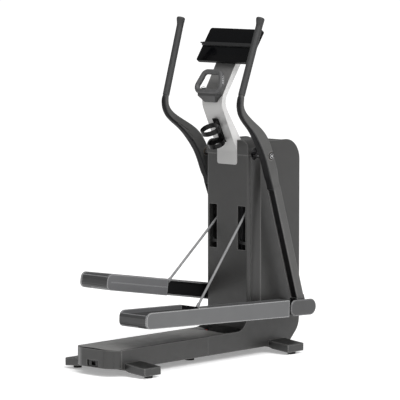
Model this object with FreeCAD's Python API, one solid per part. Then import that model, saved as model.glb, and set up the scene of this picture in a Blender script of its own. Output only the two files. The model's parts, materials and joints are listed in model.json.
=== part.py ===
import FreeCAD, Part
import math
import os

# Elliptical trainer of the suspended-lever kind: two handlebar arms hang on one shaft at the top
# of a tower, each carries a long foot lever on a hinge at its lower end, and a cable out of the
# tower holds each lever up near its pedal.
#
# Millimetres.  +X is the user's right, +Y runs from the pedals to the tower, +Z is up.
# Y is laid out from the tower's front face, and ORIGIN_Y then moves everything so that the origin
# lies under the middle of the machine, on the floor.

Vector = FreeCAD.Vector
X_AXIS = Vector(1, 0, 0)
Y_AXIS = Vector(0, 1, 0)
Z_AXIS = Vector(0, 0, 1)

# ---- driving dimensions ---------------------------------------------------------------------
BODY_HALF_WIDTH = 150.0         # base and tower share one width
PANEL = 4.0                     # thickness of the moulded covers

NOSE_FRONT_Y = -1033.0
NOSE_SEAM_Y = -972.0            # where the nose cap meets the side covers
NOSE_BOTTOM_Z = 44.0
SIDE_SEAM_Y = -315.0            # where the base side cover meets the tower side cover
BASE_BOTTOM_Z = 38.0
BASE_SIDE_TOP_Z = 140.0
DECK_CROWN_Z = 148.0

TOWER_REAR_Y = 421.0
TOWER_TOP_Z = 1156.0
TOWER_SPLIT_Z = 1085.0          # the front panel ends and the top cap begins
TOWER_FOOT_RADIUS = 90.0        # sweep from the base's side up to the tower's front corner
TOWER_TOP_RADIUS = 115.0
TOWER_TAIL_RADIUS = 105.0
LID_STEP = 4.0                  # the lid and the back lie this far inside the sides' rim
SCOOP_FRONT_Y = 16.0            # shallow hollow in the tower's side beside the arm
SCOOP_REAR_Y = 104.0
SCOOP_DEPTH = 12.0
SLOT_INNER_X = 75.5             # cable slots in the tower's front
SLOT_OUTER_X = 132.0
SLOT_BOTTOM_Z = 573.0
SLOT_TOP_Z = 809.0

SHAFT_Y = 62.0
SHAFT_Z = 1085.0
SHAFT_RADIUS = 15.0
ARM_LENGTH = 876.0              # shaft axis to lower hinge axis
ARM_X = 235.0                   # middle of the arm's blade
ARM_THICKNESS = 50.0
BLADE_FRONT = -24.0             # the blade's edges, from the line between its two axes
BLADE_BACK = 37.0
BLADE_EDGE = 8.0                # radius along the blade's corners
CHANNEL_DEPTH = 12.0            # open channel down the blade's front
CHANNEL_LIP = 3.0
BLADE_LEAN = 0.8                # degrees the blade stands forward of the line of its axes
NECK_DROP = 180.0               # the neck starts this far below the pivot
GRIP_X = 262.0                  # the grips stand further out than the blades
GRIP_RADIUS = 18.5
GRIP_TUBE_RADIUS = 15.0
KNOB_LENGTH = 48.0
KNOB_OVERHANG = 14.0            # the knob's reach past the tube's end
KNOB_SWELL = 4.5                # extra radius and backward shift at the knob's end
KNOB_ROUND = 9.0
RIGHT_ARM_ANGLE = 16.9          # degrees, lower end towards the back
LEFT_ARM_ANGLE = 21.3

LEVER_LENGTH = 1235.0           # hinge axis to front end
LEVER_INNER_X = 200.0
LEVER_OUTER_X = 280.0
PEDAL_INNER_X = 80.0
PEDAL_REAR = 772.0              # from the hinge axis
RIGHT_LEVER_PITCH = 2.3         # degrees, front end up
LEFT_LEVER_PITCH = 9.0
CAP_REAR = 97.0                 # the hinge cap's reach behind the hinge axis
CAP_FRONT = 110.0
CAP_HALF_HEIGHT = 44.0
HINGE_PIN_RADIUS = 10.0
SWIVEL_RADIUS = 42.0            # plate on the pin's inner end
SWIVEL_THICKNESS = 17.0

ANCHOR_Y = 724.0                # cable anchor, from the hinge axis towards the front
ANCHOR_Z = 14.0                 # above the line of the lever
ANCHOR_X = 143.0
ANCHOR_PIN_RADIUS = 6.0
CABLE_RADIUS = 6.5
CABLE_SLOT_X = 105.0            # where a cable crosses the tower's front face
RIGHT_CABLE_SLOT_Z = 731.0
LEFT_CABLE_SLOT_Z = 704.0
RIGHT_CABLE_INSIDE = 200.0      # straight runs inside the tower at rest
LEFT_CABLE_INSIDE = 290.0

FOOT_HALF_LENGTH = 290.0
FOOT_END_BOTTOM_Z = 13.0
FOOT_END_TOP_Z = 56.0
FOOT_MIDDLE_BOTTOM_Z = 31.0
FOOT_MIDDLE_TOP_Z = 69.0
FRONT_FOOT_Y = (-946.0, -824.0)
REAR_FOOT_Y = (170.0, 299.0)

MAST_HALF_WIDTH = 71.0
CONSOLE_WIDTH = 376.0
CONSOLE_HEIGHT = 210.0
CONSOLE_THICKNESS = 20.0
CONSOLE_LEAN = 35.0             # degrees back from upright
CONSOLE_CENTRE = Vector(0, 14, 1671)

LOOP_TUBE_RADIUS = 14.5
LOOP_BOTTOM = Vector(95, -157, 1429)
LOOP_TOP = Vector(58, -111, 1531)

SWITCH_X = -28.0                # resistance rocker on the loop's lower tube
SWITCH_RISE = 8.6
SWITCH_PIVOT_RADIUS = 2.5
MIDDLE_PAD_Y = -300.0

HOLDER_LEAN = 26.4              # degrees forward, as the lower mast
FLYWHEEL_CENTRE = Vector(0, 250, 420)
FLYWHEEL_RADIUS = 150.0
DRUM_CENTRE = Vector(0, 265, 900)
DRUM_RADIUS = 46.0
ALTERNATOR_CENTRE = Vector(0, 262, 174)

FIT = 0.05                      # radial clearance of a running fit
GAP = 0.3                       # between pieces that only stand close

# The hinge cap of the left lever is the rearmost point of the machine.
LEFT_HINGE_Y = SHAFT_Y + ARM_LENGTH * math.sin(math.radians(LEFT_ARM_ANGLE))
CAP_END = CAP_REAR - CAP_HALF_HEIGHT
REAR_Y = LEFT_HINGE_Y + CAP_END * math.cos(math.radians(LEFT_LEVER_PITCH)) + CAP_HALF_HEIGHT
ORIGIN_Y = (NOSE_FRONT_Y + REAR_Y) / 2


# ---- shared helpers -------------------------------------------------------------------------
def block(x, y, z):
    """A box from three (low, high) pairs."""
    return Part.makeBox(x[1] - x[0], y[1] - y[0], z[1] - z[0], Vector(x[0], y[0], z[0]))


def rod(start, end, radius):
    """A round bar between two points."""
    return Part.makeCylinder(radius, (end - start).Length, start, end - start)


def ring(centre, axis, length, outer, inner):
    """A tube centred on a point."""
    start = centre - axis * (length / 2)
    end = centre + axis * (length / 2)
    reach = axis * 1.0
    return rod(start, end, outer).cut(rod(start - reach, end + reach, inner))


def rounded_wire(corners, closed=True):
    """A wire of straight runs and tangent arcs through (point, radius) corners."""
    count = len(corners)
    edges = []
    arcs = []
    for index, (point, radius) in enumerate(corners):
        is_end = not closed and index in (0, count - 1)
        if radius == 0 or is_end:
            arcs.append((point, None, point))
            continue
        arriving = (point - corners[index - 1][0]).normalize()
        leaving = (corners[(index + 1) % count][0] - point).normalize()
        half_turn = arriving.getAngle(leaving) / 2
        reach = radius * math.tan(half_turn)
        inward = (leaving - arriving).normalize()
        centre = point + inward * (radius / math.cos(half_turn))
        arcs.append((point - arriving * reach, centre - inward * radius, point + leaving * reach))
    for index in range(count):
        start, middle, end = arcs[index]
        if middle is not None:
            edges.append(Part.Arc(start, middle, end).toShape())
        if closed or index < count - 1:
            following = arcs[(index + 1) % count][0]
            if (following - end).Length > 1e-6:
                edges.append(Part.LineSegment(end, following).toShape())
    return Part.Wire(edges)


def side_plate(outline, x_low, x_high):
    """A (y, z, radius) outline made solid between two X places."""
    corners = [(Vector(x_low, y, z), radius) for y, z, radius in outline]
    return Part.Face(rounded_wire(corners)).extrude(X_AXIS * (x_high - x_low))


def front_plate(outline, y_low, y_high):
    """An (x, z, radius) outline made solid between two Y places."""
    corners = [(Vector(x, y_low, z), radius) for x, z, radius in outline]
    return Part.Face(rounded_wire(corners)).extrude(Y_AXIS * (y_high - y_low))


def floor_plate(outline, z_low, z_high):
    """An (x, y, radius) outline made solid between two heights."""
    corners = [(Vector(x, y, z_low), radius) for x, y, radius in outline]
    return Part.Face(rounded_wire(corners)).extrude(Z_AXIS * (z_high - z_low))


def tube_along(corners, radius):
    """A round bar swept along an open path of (point, radius) corners."""
    path = rounded_wire(corners, closed=False)
    first = path.OrderedEdges[0]
    start = path.OrderedVertexes[0].Point
    direction = first.tangentAt(first.FirstParameter)
    circle = Part.Wire(Part.makeCircle(radius, start, direction))
    return path.makePipeShell([circle], True, True)


def mirror_x(shape):
    """The same shape on the other side of the machine."""
    return shape.mirror(Vector(0, 0, 0), X_AXIS)


def both_sides(shape):
    """A shape and its mirror image."""
    return Part.makeCompound([shape, mirror_x(shape)])


def tidy(shape):
    """One clean solid, or a group of them, from a boolean result."""
    solids = [solid.removeSplitter() for solid in shape.Solids]
    return solids[0] if len(solids) == 1 else Part.makeCompound(solids)


# ---- feet and base --------------------------------------------------------------------------
def foot(y_range):
    """A cross foot: low at its ends, rising a little to the middle."""
    half = FOOT_HALF_LENGTH
    shoulder = BODY_HALF_WIDTH
    outline = [
        (-half, FOOT_END_BOTTOM_Z, 4), (-shoulder - 25, FOOT_MIDDLE_BOTTOM_Z - 8, 20),
        (-shoulder, FOOT_MIDDLE_BOTTOM_Z, 20), (shoulder, FOOT_MIDDLE_BOTTOM_Z, 20),
        (shoulder + 25, FOOT_MIDDLE_BOTTOM_Z - 8, 20), (half, FOOT_END_BOTTOM_Z, 4),
        (half, FOOT_END_TOP_Z, 5), (shoulder, FOOT_MIDDLE_TOP_Z, 60),
        (-shoulder, FOOT_MIDDLE_TOP_Z, 60), (-half, FOOT_END_TOP_Z, 5)]
    return front_plate(outline, y_range[0], y_range[1])


def levelling_feet():
    """Rubber pads on short studs under the four foot ends, and one under the middle."""
    pads = []
    for y_range in (FRONT_FOOT_Y, REAR_FOOT_Y):
        y = (y_range[0] + y_range[1]) / 2
        for side in (-1, 1):
            pad_x = side * (FOOT_HALF_LENGTH - 32)
            pad = rod(Vector(pad_x, y, 0), Vector(pad_x, y, FOOT_END_BOTTOM_Z), 22)
            pads.append(pad.cut(foot(y_range)))
    middle = rod(Vector(0, MIDDLE_PAD_Y, 0), Vector(0, MIDDLE_PAD_Y, BASE_BOTTOM_Z), 26)
    return Part.makeCompound(pads + [middle])


def side_outline(y_front, y_rear_seam):
    """The side cover's outline between the nose seam and the tower's tail."""
    if y_rear_seam is not None:
        return [(y_front, BASE_BOTTOM_Z, 0), (y_rear_seam, BASE_BOTTOM_Z, 0),
                (y_rear_seam, BASE_SIDE_TOP_Z, 0), (y_front, BASE_SIDE_TOP_Z, 0)]
    return [(y_front, BASE_BOTTOM_Z, 0), (TOWER_REAR_Y - 88, BASE_BOTTOM_Z, 60),
            (TOWER_REAR_Y, 128, TOWER_TAIL_RADIUS), (TOWER_REAR_Y, TOWER_TOP_Z, TOWER_TOP_RADIUS),
            (SCOOP_REAR_Y, TOWER_TOP_Z, 0), (SCOOP_REAR_Y, TOWER_FOOT_RADIUS + 110, 0),
            (0, TOWER_FOOT_RADIUS + 110, 0), (0, BASE_SIDE_TOP_Z, TOWER_FOOT_RADIUS),
            (y_front, BASE_SIDE_TOP_Z, 0)]


def feet_space():
    """The room that the cross feet take out of the covers."""
    return foot(FRONT_FOOT_Y).fuse(foot(REAR_FOOT_Y))


def base_side():
    """Right cover of the base, from the nose seam to the middle seam."""
    outline = side_outline(NOSE_SEAM_Y + GAP, SIDE_SEAM_Y - GAP)
    plate = side_plate(outline, BODY_HALF_WIDTH - PANEL, BODY_HALF_WIDTH)
    return plate.cut(feet_space())


def tower_side():
    """Right cover of the tower and of the base's rear part."""
    outline = side_outline(SIDE_SEAM_Y, None)
    plate = side_plate(outline, BODY_HALF_WIDTH - PANEL, BODY_HALF_WIDTH)
    return plate.cut(feet_space())


def nose_plan(inset):
    """Plan of the base's rounded front, drawn in by an inset."""
    half = BODY_HALF_WIDTH - inset
    front = NOSE_FRONT_Y + inset
    return [(-half, NOSE_SEAM_Y, 0), (-half, front + 35, 40 - inset), (65 - half, front, 80 - inset),
            (half - 65, front, 80 - inset), (half, front + 35, 40 - inset), (half, NOSE_SEAM_Y, 0)]


def base_deck():
    """Slightly crowned top cover of the base."""
    half = BODY_HALF_WIDTH - PANEL - 1
    rise = DECK_CROWN_Z - BASE_SIDE_TOP_Z
    crown = (half * half + rise * rise) / (2 * rise)
    low, high = BASE_BOTTOM_Z + 60, DECK_CROWN_Z + 5
    sheet = block((-half, half), (NOSE_SEAM_Y, -PANEL), (low, high))
    sheet = sheet.fuse(floor_plate(nose_plan(PANEL + 1), low, high))
    start = Vector(0, NOSE_FRONT_Y - 50, DECK_CROWN_Z - crown)
    end = Vector(0, 50, DECK_CROWN_Z - crown)
    return sheet.common(rod(start, end, crown)).cut(rod(start, end, crown - PANEL))


def nose_cap():
    """Rounded front of the base, with the opening for the power inlet."""
    top = BASE_SIDE_TOP_Z
    shell = floor_plate(nose_plan(0), NOSE_BOTTOM_Z, top)
    hollow = floor_plate(nose_plan(PANEL), NOSE_BOTTOM_Z + PANEL, top + 1)
    inlet = block((-40, 40), (NOSE_FRONT_Y - 10, NOSE_FRONT_Y + 20), (NOSE_BOTTOM_Z + PANEL, 82))
    return shell.cut(hollow).cut(inlet)


def power_inlet():
    """Inlet socket set back in the nose's opening."""
    body = block((-39, 39), (NOSE_FRONT_Y + 7, NOSE_FRONT_Y + 34), (48.3, 81))
    mouth = block((-14, 14), (NOSE_FRONT_Y, NOSE_FRONT_Y + 25), (54, 75))
    switch = block((20, 33), (NOSE_FRONT_Y + 5, NOSE_FRONT_Y + 8), (56, 74))
    return body.cut(mouth).fuse(switch)


def base_frame():
    """Steel spine under the deck, with the cross members that carry the two feet."""
    spine = block((-45, 45), (-960, 330), (72, 132)).cut(block((-41, 41), (-961, 331), (76, 128)))
    ties = []
    for y_range in (FRONT_FOOT_Y, REAR_FOOT_Y):
        middle = (y_range[0] + y_range[1]) / 2
        tie = block((46, 140), (middle - 30, middle + 30), (72, 112))
        ties.append(tie.cut(block((45, 136), (middle - 26, middle + 26), (76, 108))))
    plates = [block((41, 46), (middle - 40, middle + 40), (76, 128)) for middle in (-885, 234)]
    shape = spine
    for tie, plate in zip(ties, plates):
        shape = shape.fuse(tie).fuse(mirror_x(tie)).fuse(plate).fuse(mirror_x(plate))
    return shape


# ---- tower ----------------------------------------------------------------------------------
def tower_front_panel():
    """Front of the tower, wrapped round its corners and hollowed beside the arms."""
    half = BODY_HALF_WIDTH
    bottom = BASE_SIDE_TOP_Z + 2

    def section(inset):
        corner = 14 - inset
        depth = SCOOP_DEPTH
        y_front = inset
        x_side = half - inset
        middle = (SCOOP_FRONT_Y + SCOOP_REAR_Y) / 2
        arc_side = (math.sqrt(0.5), 1 - math.sqrt(0.5))
        front_corner = Part.Arc(
            Vector(x_side - corner, y_front, bottom),
            Vector(x_side - corner + corner * arc_side[0], y_front + corner * arc_side[1], bottom),
            Vector(x_side, y_front + corner, bottom)).toShape()
        scoop = Part.Arc(Vector(x_side, SCOOP_FRONT_Y, bottom), Vector(x_side - depth, middle, bottom),
                         Vector(x_side, SCOOP_REAR_Y - 0.2, bottom)).toShape()
        return front_corner, scoop

    outer_corner, outer_scoop = section(0)
    inner_corner, inner_scoop = section(PANEL)
    right_edges = [
        Part.LineSegment(Vector(0, 0, bottom), Vector(half - 14, 0, bottom)).toShape(),
        outer_corner,
        Part.LineSegment(Vector(half, 14, bottom), Vector(half, SCOOP_FRONT_Y, bottom)).toShape(),
        outer_scoop,
        Part.LineSegment(Vector(half, SCOOP_REAR_Y - 0.2, bottom),
                         Vector(half - PANEL, SCOOP_REAR_Y - 0.2, bottom)).toShape(),
        inner_scoop,
        Part.LineSegment(Vector(half - PANEL, SCOOP_FRONT_Y, bottom),
                         Vector(half - PANEL, 14, bottom)).toShape(),
        inner_corner,
        Part.LineSegment(Vector(half - 14, PANEL, bottom), Vector(0, PANEL, bottom)).toShape(),
        Part.LineSegment(Vector(0, PANEL, bottom), Vector(0, 0, bottom)).toShape()]
    face = Part.Face(Part.Wire(Part.__sortEdges__(right_edges)))
    right = face.extrude(Z_AXIS * (TOWER_SPLIT_Z - GAP - bottom))
    slot = [(SLOT_INNER_X, SLOT_BOTTOM_Z, 3), (SLOT_OUTER_X, SLOT_BOTTOM_Z, 3),
            (SLOT_OUTER_X, SLOT_TOP_Z, 3), (SLOT_INNER_X, SLOT_TOP_Z, 3)]
    right = right.cut(front_plate(slot, -5, PANEL + 5))
    side = tower_side()
    right = right.cut(side.fuse(side.translated(X_AXIS * -PANEL)))
    arch = rod(Vector(100, SHAFT_Y, SHAFT_Z), Vector(160, SHAFT_Y, SHAFT_Z), 28)
    right = right.cut(arch)
    return right.fuse(mirror_x(right)).cut(mast_body())


def tower_rear_cover():
    """Back of the tower between the two sides, curved into its top and its underside."""
    half = BODY_HALF_WIDTH - PANEL

    def outline(inset):
        rear = TOWER_REAR_Y - inset
        return [(0, BASE_BOTTOM_Z + inset, 0), (rear - 87, BASE_BOTTOM_Z + inset, 58),
                (rear, 129, TOWER_TAIL_RADIUS - inset),
                (rear, TOWER_TOP_Z - inset, TOWER_TOP_RADIUS - inset), (0, TOWER_TOP_Z - inset, 0)]

    shell = side_plate(outline(LID_STEP), -half, half)
    shell = shell.cut(side_plate(outline(LID_STEP + PANEL), -half - 1, half + 1))
    start_y = TOWER_REAR_Y - TOWER_TOP_RADIUS + 0.2
    return shell.common(block((-half, half), (start_y, TOWER_REAR_Y), (0, TOWER_TOP_Z)))


def base_underpan():
    """Closing plates under the base, between and behind the feet."""
    half = BODY_HALF_WIDTH - PANEL
    rear_y = TOWER_REAR_Y - TOWER_TOP_RADIUS
    pan = block((-half, half), (NOSE_SEAM_Y + GAP, rear_y), (BASE_BOTTOM_Z, BASE_BOTTOM_Z + PANEL))
    return pan.cut(feet_space())


def tower_top_cap():
    """Cap over the tower: rounded shoulders in front, arched openings round the shaft."""
    half = BODY_HALF_WIDTH
    top = TOWER_TOP_Z + 9
    shoulders = [(-half, TOWER_SPLIT_Z, 0), (half, TOWER_SPLIT_Z, 0), (half, top, 45),
                 (-half, top, 45)]
    inner = [(-half + PANEL, TOWER_SPLIT_Z - 1, 0), (half - PANEL, TOWER_SPLIT_Z - 1, 0),
             (half - PANEL, top - PANEL, 41), (-half + PANEL, top - PANEL, 41)]
    front = front_plate(shoulders, 0, SCOOP_REAR_Y - 0.2)
    front = front.cut(front_plate(inner, PANEL, SCOOP_REAR_Y + 1))
    lid_half = half - PANEL - 0.2
    lid_top = TOWER_TOP_Z - LID_STEP
    lid = [(SCOOP_REAR_Y - 0.2, lid_top - PANEL, 0), (SCOOP_REAR_Y - 0.2, lid_top, 0),
           (TOWER_REAR_Y - TOWER_TOP_RADIUS, lid_top, 0),
           (TOWER_REAR_Y - TOWER_TOP_RADIUS, lid_top - PANEL, 0)]
    back = side_plate(lid, -lid_half, lid_half)
    step = front_plate(shoulders, SCOOP_REAR_Y - PANEL, SCOOP_REAR_Y - 0.2)
    step = step.cut(block((-lid_half, lid_half), (0, 200), (TOWER_SPLIT_Z - 1, lid_top - PANEL)))
    arch = rod(Vector(0, SHAFT_Y, SHAFT_Z), Vector(200, SHAFT_Y, SHAFT_Z), 40)
    cap = front.fuse(back).fuse(step).cut(arch).cut(mirror_x(arch))
    return cap.cut(mast_body())


def tower_frame():
    """Steel uprights with the shaft's clamp blocks and the plates that hold the drive."""
    upright = block((34, 74), (40, 100), (142, 1118)).cut(block((38, 70), (44, 96), (141, 1119)))
    shoe = block((28, 80), (30, 112), (132, 142))
    shaft_plate = block((74, 80), (30, 100), (1030, 1118))
    drum_plate = block((28, 34), (60, 300), (860, 940))
    wheel_plate = block((28, 34), (60, 290), (385, 455))
    generator_plate = block((28, 34), (96, 300), (142, 200))
    shape = upright
    shaft_clamp = block((80, 128), (30, 94), (1046, 1124))
    for plate in (shoe, shaft_plate, shaft_clamp, drum_plate, wheel_plate, generator_plate):
        shape = shape.fuse(plate)
    shaft = rod(Vector(0, SHAFT_Y, SHAFT_Z), Vector(200, SHAFT_Y, SHAFT_Z), SHAFT_RADIUS)
    drum_bore = rod(Vector(0, DRUM_CENTRE.y, DRUM_CENTRE.z),
                    Vector(200, DRUM_CENTRE.y, DRUM_CENTRE.z), 10 + FIT)
    wheel_bore = rod(Vector(0, FLYWHEEL_CENTRE.y, FLYWHEEL_CENTRE.z),
                     Vector(200, FLYWHEEL_CENTRE.y, FLYWHEEL_CENTRE.z), 8)
    shape = shape.cut(shaft).cut(drum_bore).cut(wheel_bore)
    generator_bore = rod(Vector(0, ALTERNATOR_CENTRE.y, ALTERNATOR_CENTRE.z),
                         Vector(200, ALTERNATOR_CENTRE.y, ALTERNATOR_CENTRE.z), 12)
    shape = shape.cut(generator_bore)
    bridge = block((-34, 34), (44, 96), (1040, 1064))
    return shape.fuse(mirror_x(shape)).fuse(bridge)


def pivot_shaft():
    """The one shaft that carries both arms."""
    reach = ARM_X + ARM_THICKNESS / 2 - 1
    return rod(Vector(-reach, SHAFT_Y, SHAFT_Z), Vector(reach, SHAFT_Y, SHAFT_Z), SHAFT_RADIUS)


def cable_fairleads():
    """Wide plastic eyes on the tower frame behind the slots, which guide the cables."""
    y_low, y_high = 20, 34
    low, high = 600, 880
    outer = [(56, low, 8), (136, low, 8), (136, high, 8), (56, high, 8)]
    eye = [(64, low + 14, 20), (130, low + 14, 20), (130, high - 14, 20), (64, high - 14, 20)]
    frame = front_plate(outer, y_low, y_high).cut(front_plate(eye, y_low - 1, y_high + 1))
    tab = block((40, 60), (y_low + 2, 40), (700, 740))
    return both_sides(frame.fuse(tab))


def flywheel():
    """Flywheel with the belt pulley beside it, turned in one piece."""
    centre = FLYWHEEL_CENTRE
    disc = rod(centre - X_AXIS * 10, centre + X_AXIS * 10, FLYWHEEL_RADIUS)
    rim_space = ring(centre - X_AXIS * 9, X_AXIS, 8, FLYWHEEL_RADIUS - 30, 45)
    pulley = rod(centre + X_AXIS * 10, centre + X_AXIS * 27, 60)
    bore = rod(centre - X_AXIS * 40, centre + X_AXIS * 40, 8 + FIT)
    return disc.cut(rim_space).fuse(pulley).cut(bore)


def flywheel_axle():
    """Fixed axle of the flywheel."""
    return rod(FLYWHEEL_CENTRE - X_AXIS * 40, FLYWHEEL_CENTRE + X_AXIS * 40, 8)


def alternator():
    """Resistance generator under the flywheel."""
    centre = ALTERNATOR_CENTRE
    body = rod(centre - X_AXIS * 26, centre + X_AXIS * 6, 34)
    stub = rod(centre + X_AXIS * 6, centre + X_AXIS * 27, 7)
    boss = rod(centre - X_AXIS * 34, centre - X_AXIS * 26, 12)
    return body.fuse(stub).fuse(boss)


def alternator_pulley():
    """Small pulley on the generator's stub."""
    return ring(ALTERNATOR_CENTRE + X_AXIS * 18.5, X_AXIS, 17, 20, 7 + FIT)


def drive_belt():
    """Flat belt round the flywheel's pulley and the generator's."""
    def loop(extra):
        big, small = 60 + extra, 20 + extra
        upper = Vector(0, FLYWHEEL_CENTRE.y, FLYWHEEL_CENTRE.z)
        lower = Vector(0, ALTERNATOR_CENTRE.y, ALTERNATOR_CENTRE.z)
        span = lower - upper
        lean = math.asin((big - small) / span.Length)
        along = math.atan2(span.z, span.y)
        points = []
        for side in (1, -1):
            normal = along + side * (math.pi / 2 - lean)
            out = Vector(0, math.cos(normal), math.sin(normal))
            points.append((upper + out * big, lower + out * small))
        back = span.normalize() * -1
        (a_up, a_low), (b_up, b_low) = points
        return Part.Wire([
            Part.LineSegment(a_up, a_low).toShape(),
            Part.Arc(a_low, lower - back * small, b_low).toShape(),
            Part.LineSegment(b_low, b_up).toShape(),
            Part.Arc(b_up, upper + back * big, a_up).toShape()])
    outer = Part.Face(loop(3)).extrude(X_AXIS * 11)
    inner = Part.Face(loop(GAP)).extrude(X_AXIS * 11)
    return outer.cut(inner).translated(X_AXIS * 13)


def cable_drum():
    """Drum on its shaft; it winds one cable in while it lets the other out."""
    drum = rod(DRUM_CENTRE - X_AXIS * 26, DRUM_CENTRE + X_AXIS * 26, DRUM_RADIUS)
    grooves = [ring(DRUM_CENTRE + X_AXIS * x, X_AXIS, 14, DRUM_RADIUS + 5, DRUM_RADIUS - 5)
               for x in (-13, 13)]
    shaft = rod(DRUM_CENTRE - X_AXIS * 40, DRUM_CENTRE + X_AXIS * 40, 10)
    return drum.cut(grooves[0]).cut(grooves[1]).fuse(shaft)


# ---- mast, console and what hangs on them ---------------------------------------------------
def mast_body():
    """The whole outer form of the mast, with its tongue down the tower's front."""
    outline = [(-3, 1031, 0), (-3, 1110, 60), (-135, 1376, 90), (27, 1638, 0), (66, 1625, 0),
               (-106, 1372, 80), (42, 1150, 60), (42, 1122, 0), (9, 1122, 0), (9, 1031, 0)]
    body = side_plate(outline, -MAST_HALF_WIDTH, MAST_HALF_WIDTH)
    tongue = [(-MAST_HALF_WIDTH, 1031, 14), (MAST_HALF_WIDTH, 1031, 14),
              (MAST_HALF_WIDTH, 1700, 0), (-MAST_HALF_WIDTH, 1700, 0)]
    return body.common(front_plate(tongue, -300, 300))


def mast():
    """Bent box mast; its upper front face is let in for a darker cover."""
    return mast_body().cut(hollow_mast()).cut(mast_front_cover())


def hollow_mast():
    """Space inside the mast, open towards the tower."""
    wall = 5
    half = MAST_HALF_WIDTH - wall
    outline = [(4, 1090, 0), (4, 1112, 50), (-129, 1376, 84), (17, 1612, 0), (49, 1608, 0),
               (-112, 1371, 86), (35, 1150, 50), (35, 1090, 0)]
    return side_plate(outline, -half, half)


def mast_front_cover():
    """Darker cover over the front of the upper mast."""
    half = MAST_HALF_WIDTH - 1.5
    low, high = Vector(0, -117, 1405), Vector(0, 24, 1633)
    outward = (high - low).cross(X_AXIS).normalize() * -1
    corners = [low + outward * 12, high + outward * 12, high - outward * 4, low - outward * 4]
    band = side_plate([(corner.y, corner.z, 0) for corner in corners], -half, half)
    return band.common(mast_body())


def on_console(shape):
    """Carries a shape from the console's own frame, X across and Z up its face, into place."""
    placed = shape.copy()
    placed.rotate(Vector(0, 0, 0), X_AXIS, -CONSOLE_LEAN)
    placed.translate(CONSOLE_CENTRE)
    return placed


def console_plate(width, height, radius, y_low, y_high):
    """A round-cornered plate in the console's own frame."""
    half_x, half_z = width / 2, height / 2
    outline = [(-half_x, -half_z, radius), (half_x, -half_z, radius),
               (half_x, half_z, radius), (-half_x, half_z, radius)]
    return front_plate(outline, y_low, y_high)


def console_housing():
    """Console case with a raised back that the mast enters."""
    case = console_plate(CONSOLE_WIDTH, CONSOLE_HEIGHT, 13, 3, CONSOLE_THICKNESS)
    back = console_plate(230, 120, 30, CONSOLE_THICKNESS, CONSOLE_THICKNESS + 22)
    pocket = console_plate(CONSOLE_WIDTH - 24, CONSOLE_HEIGHT - 24, 8, 2, CONSOLE_THICKNESS - 5)
    shape = on_console(case.cut(pocket).fuse(back))
    return shape.cut(mast_body())


def console_screen():
    """Glass front of the console."""
    glass = console_plate(CONSOLE_WIDTH, CONSOLE_HEIGHT, 13, 0, 2.9)
    return on_console(glass).cut(mast_body())


def device_ledge():
    """Bar across the console on which a tablet or book rests, on a rod through its ends."""
    outline = [(-12.1, -10, 3), (-0.1, -12, 0), (-0.1, 10, 0), (-10, 10, 3)]
    bar = side_plate(outline, -CONSOLE_WIDTH / 2, CONSOLE_WIDTH / 2)
    reach = CONSOLE_WIDTH / 2 + 17
    pin = rod(Vector(-reach, -6, 5), Vector(reach, -6, 5), 4)
    return on_console(bar.fuse(pin))


def loop_handle():
    """Fixed grab loop in front of the mast."""
    start = Vector(0, LOOP_BOTTOM.y, LOOP_BOTTOM.z)
    end = Vector(0, LOOP_TOP.y, LOOP_TOP.z)
    half = tube_along([(start, 0), (LOOP_BOTTOM, 30), (LOOP_TOP, 30), (end, 0)], LOOP_TUBE_RADIUS)
    return half.fuse(mirror_x(half))


def pulse_plates():
    """Polished contact plates let onto the rear outer sides of the loop."""
    low = LOOP_BOTTOM + (LOOP_TOP - LOOP_BOTTOM) * 0.38
    high = LOOP_BOTTOM + (LOOP_TOP - LOOP_BOTTOM) * 0.78
    sleeve = rod(low, high, LOOP_TUBE_RADIUS + 1.6)
    tube = rod(low - (high - low), high + (high - low), LOOP_TUBE_RADIUS + FIT)
    run = (high - low).normalize()
    outward = Vector(0.5, 0.866, 0)
    outward = (outward - run * outward.dot(run)).normalize()
    rest = Part.makeBox(100, 200, 100, Vector(-50, -100, -100))
    rest.Placement = FreeCAD.Placement((low + high) * 0.5 + outward * 5,
                                       FreeCAD.Rotation(Z_AXIS, outward))
    return both_sides(sleeve.cut(tube).cut(rest))


def loop_bracket():
    """Bracket between the loop and the knee of the mast."""
    outline = [(-38, 1371, 3), (38, 1371, 3), (62, 1404, 6), (62, 1424, 3), (-62, 1424, 3),
               (-62, 1404, 6)]
    body = front_plate(outline, -170, -80)
    top = LOOP_BOTTOM.z - 2
    profile = [(-138, 1369, 0), (-168, 1406, 6), (-168, top, 0), (-145, top, 0), (-95, 1404, 0),
               (-95, 1369, 0)]
    body = body.common(side_plate(profile, -90, 90))
    pieces = body.cut(loop_handle()).cut(mast_body()).Solids
    return max(pieces, key=lambda piece: piece.Volume)


def switch_space():
    """Pocket for the resistance switch, in the top of the loop's lower tube."""
    centre = Vector(SWITCH_X, LOOP_BOTTOM.y, LOOP_BOTTOM.z + SWITCH_RISE)
    return block((centre.x - 13, centre.x + 13), (centre.y - 9, centre.y + 9),
                 (centre.z - SWITCH_PIVOT_RADIUS - GAP, centre.z + 30))


def loop_switch():
    """Rocker with which the user changes the resistance."""
    centre = Vector(SWITCH_X, LOOP_BOTTOM.y, LOOP_BOTTOM.z + SWITCH_RISE)
    outline = [(centre.x - 11, centre.z, 2), (centre.x + 11, centre.z, 2),
               (centre.x + 11, centre.z + 10, 4), (centre.x - 11, centre.z + 10, 4)]
    rocker = front_plate(outline, centre.y - 6.5, centre.y + 6.5)
    pivot = rod(centre - Y_AXIS * 8, centre + Y_AXIS * 8, SWITCH_PIVOT_RADIUS)
    return rocker.fuse(pivot)


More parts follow.
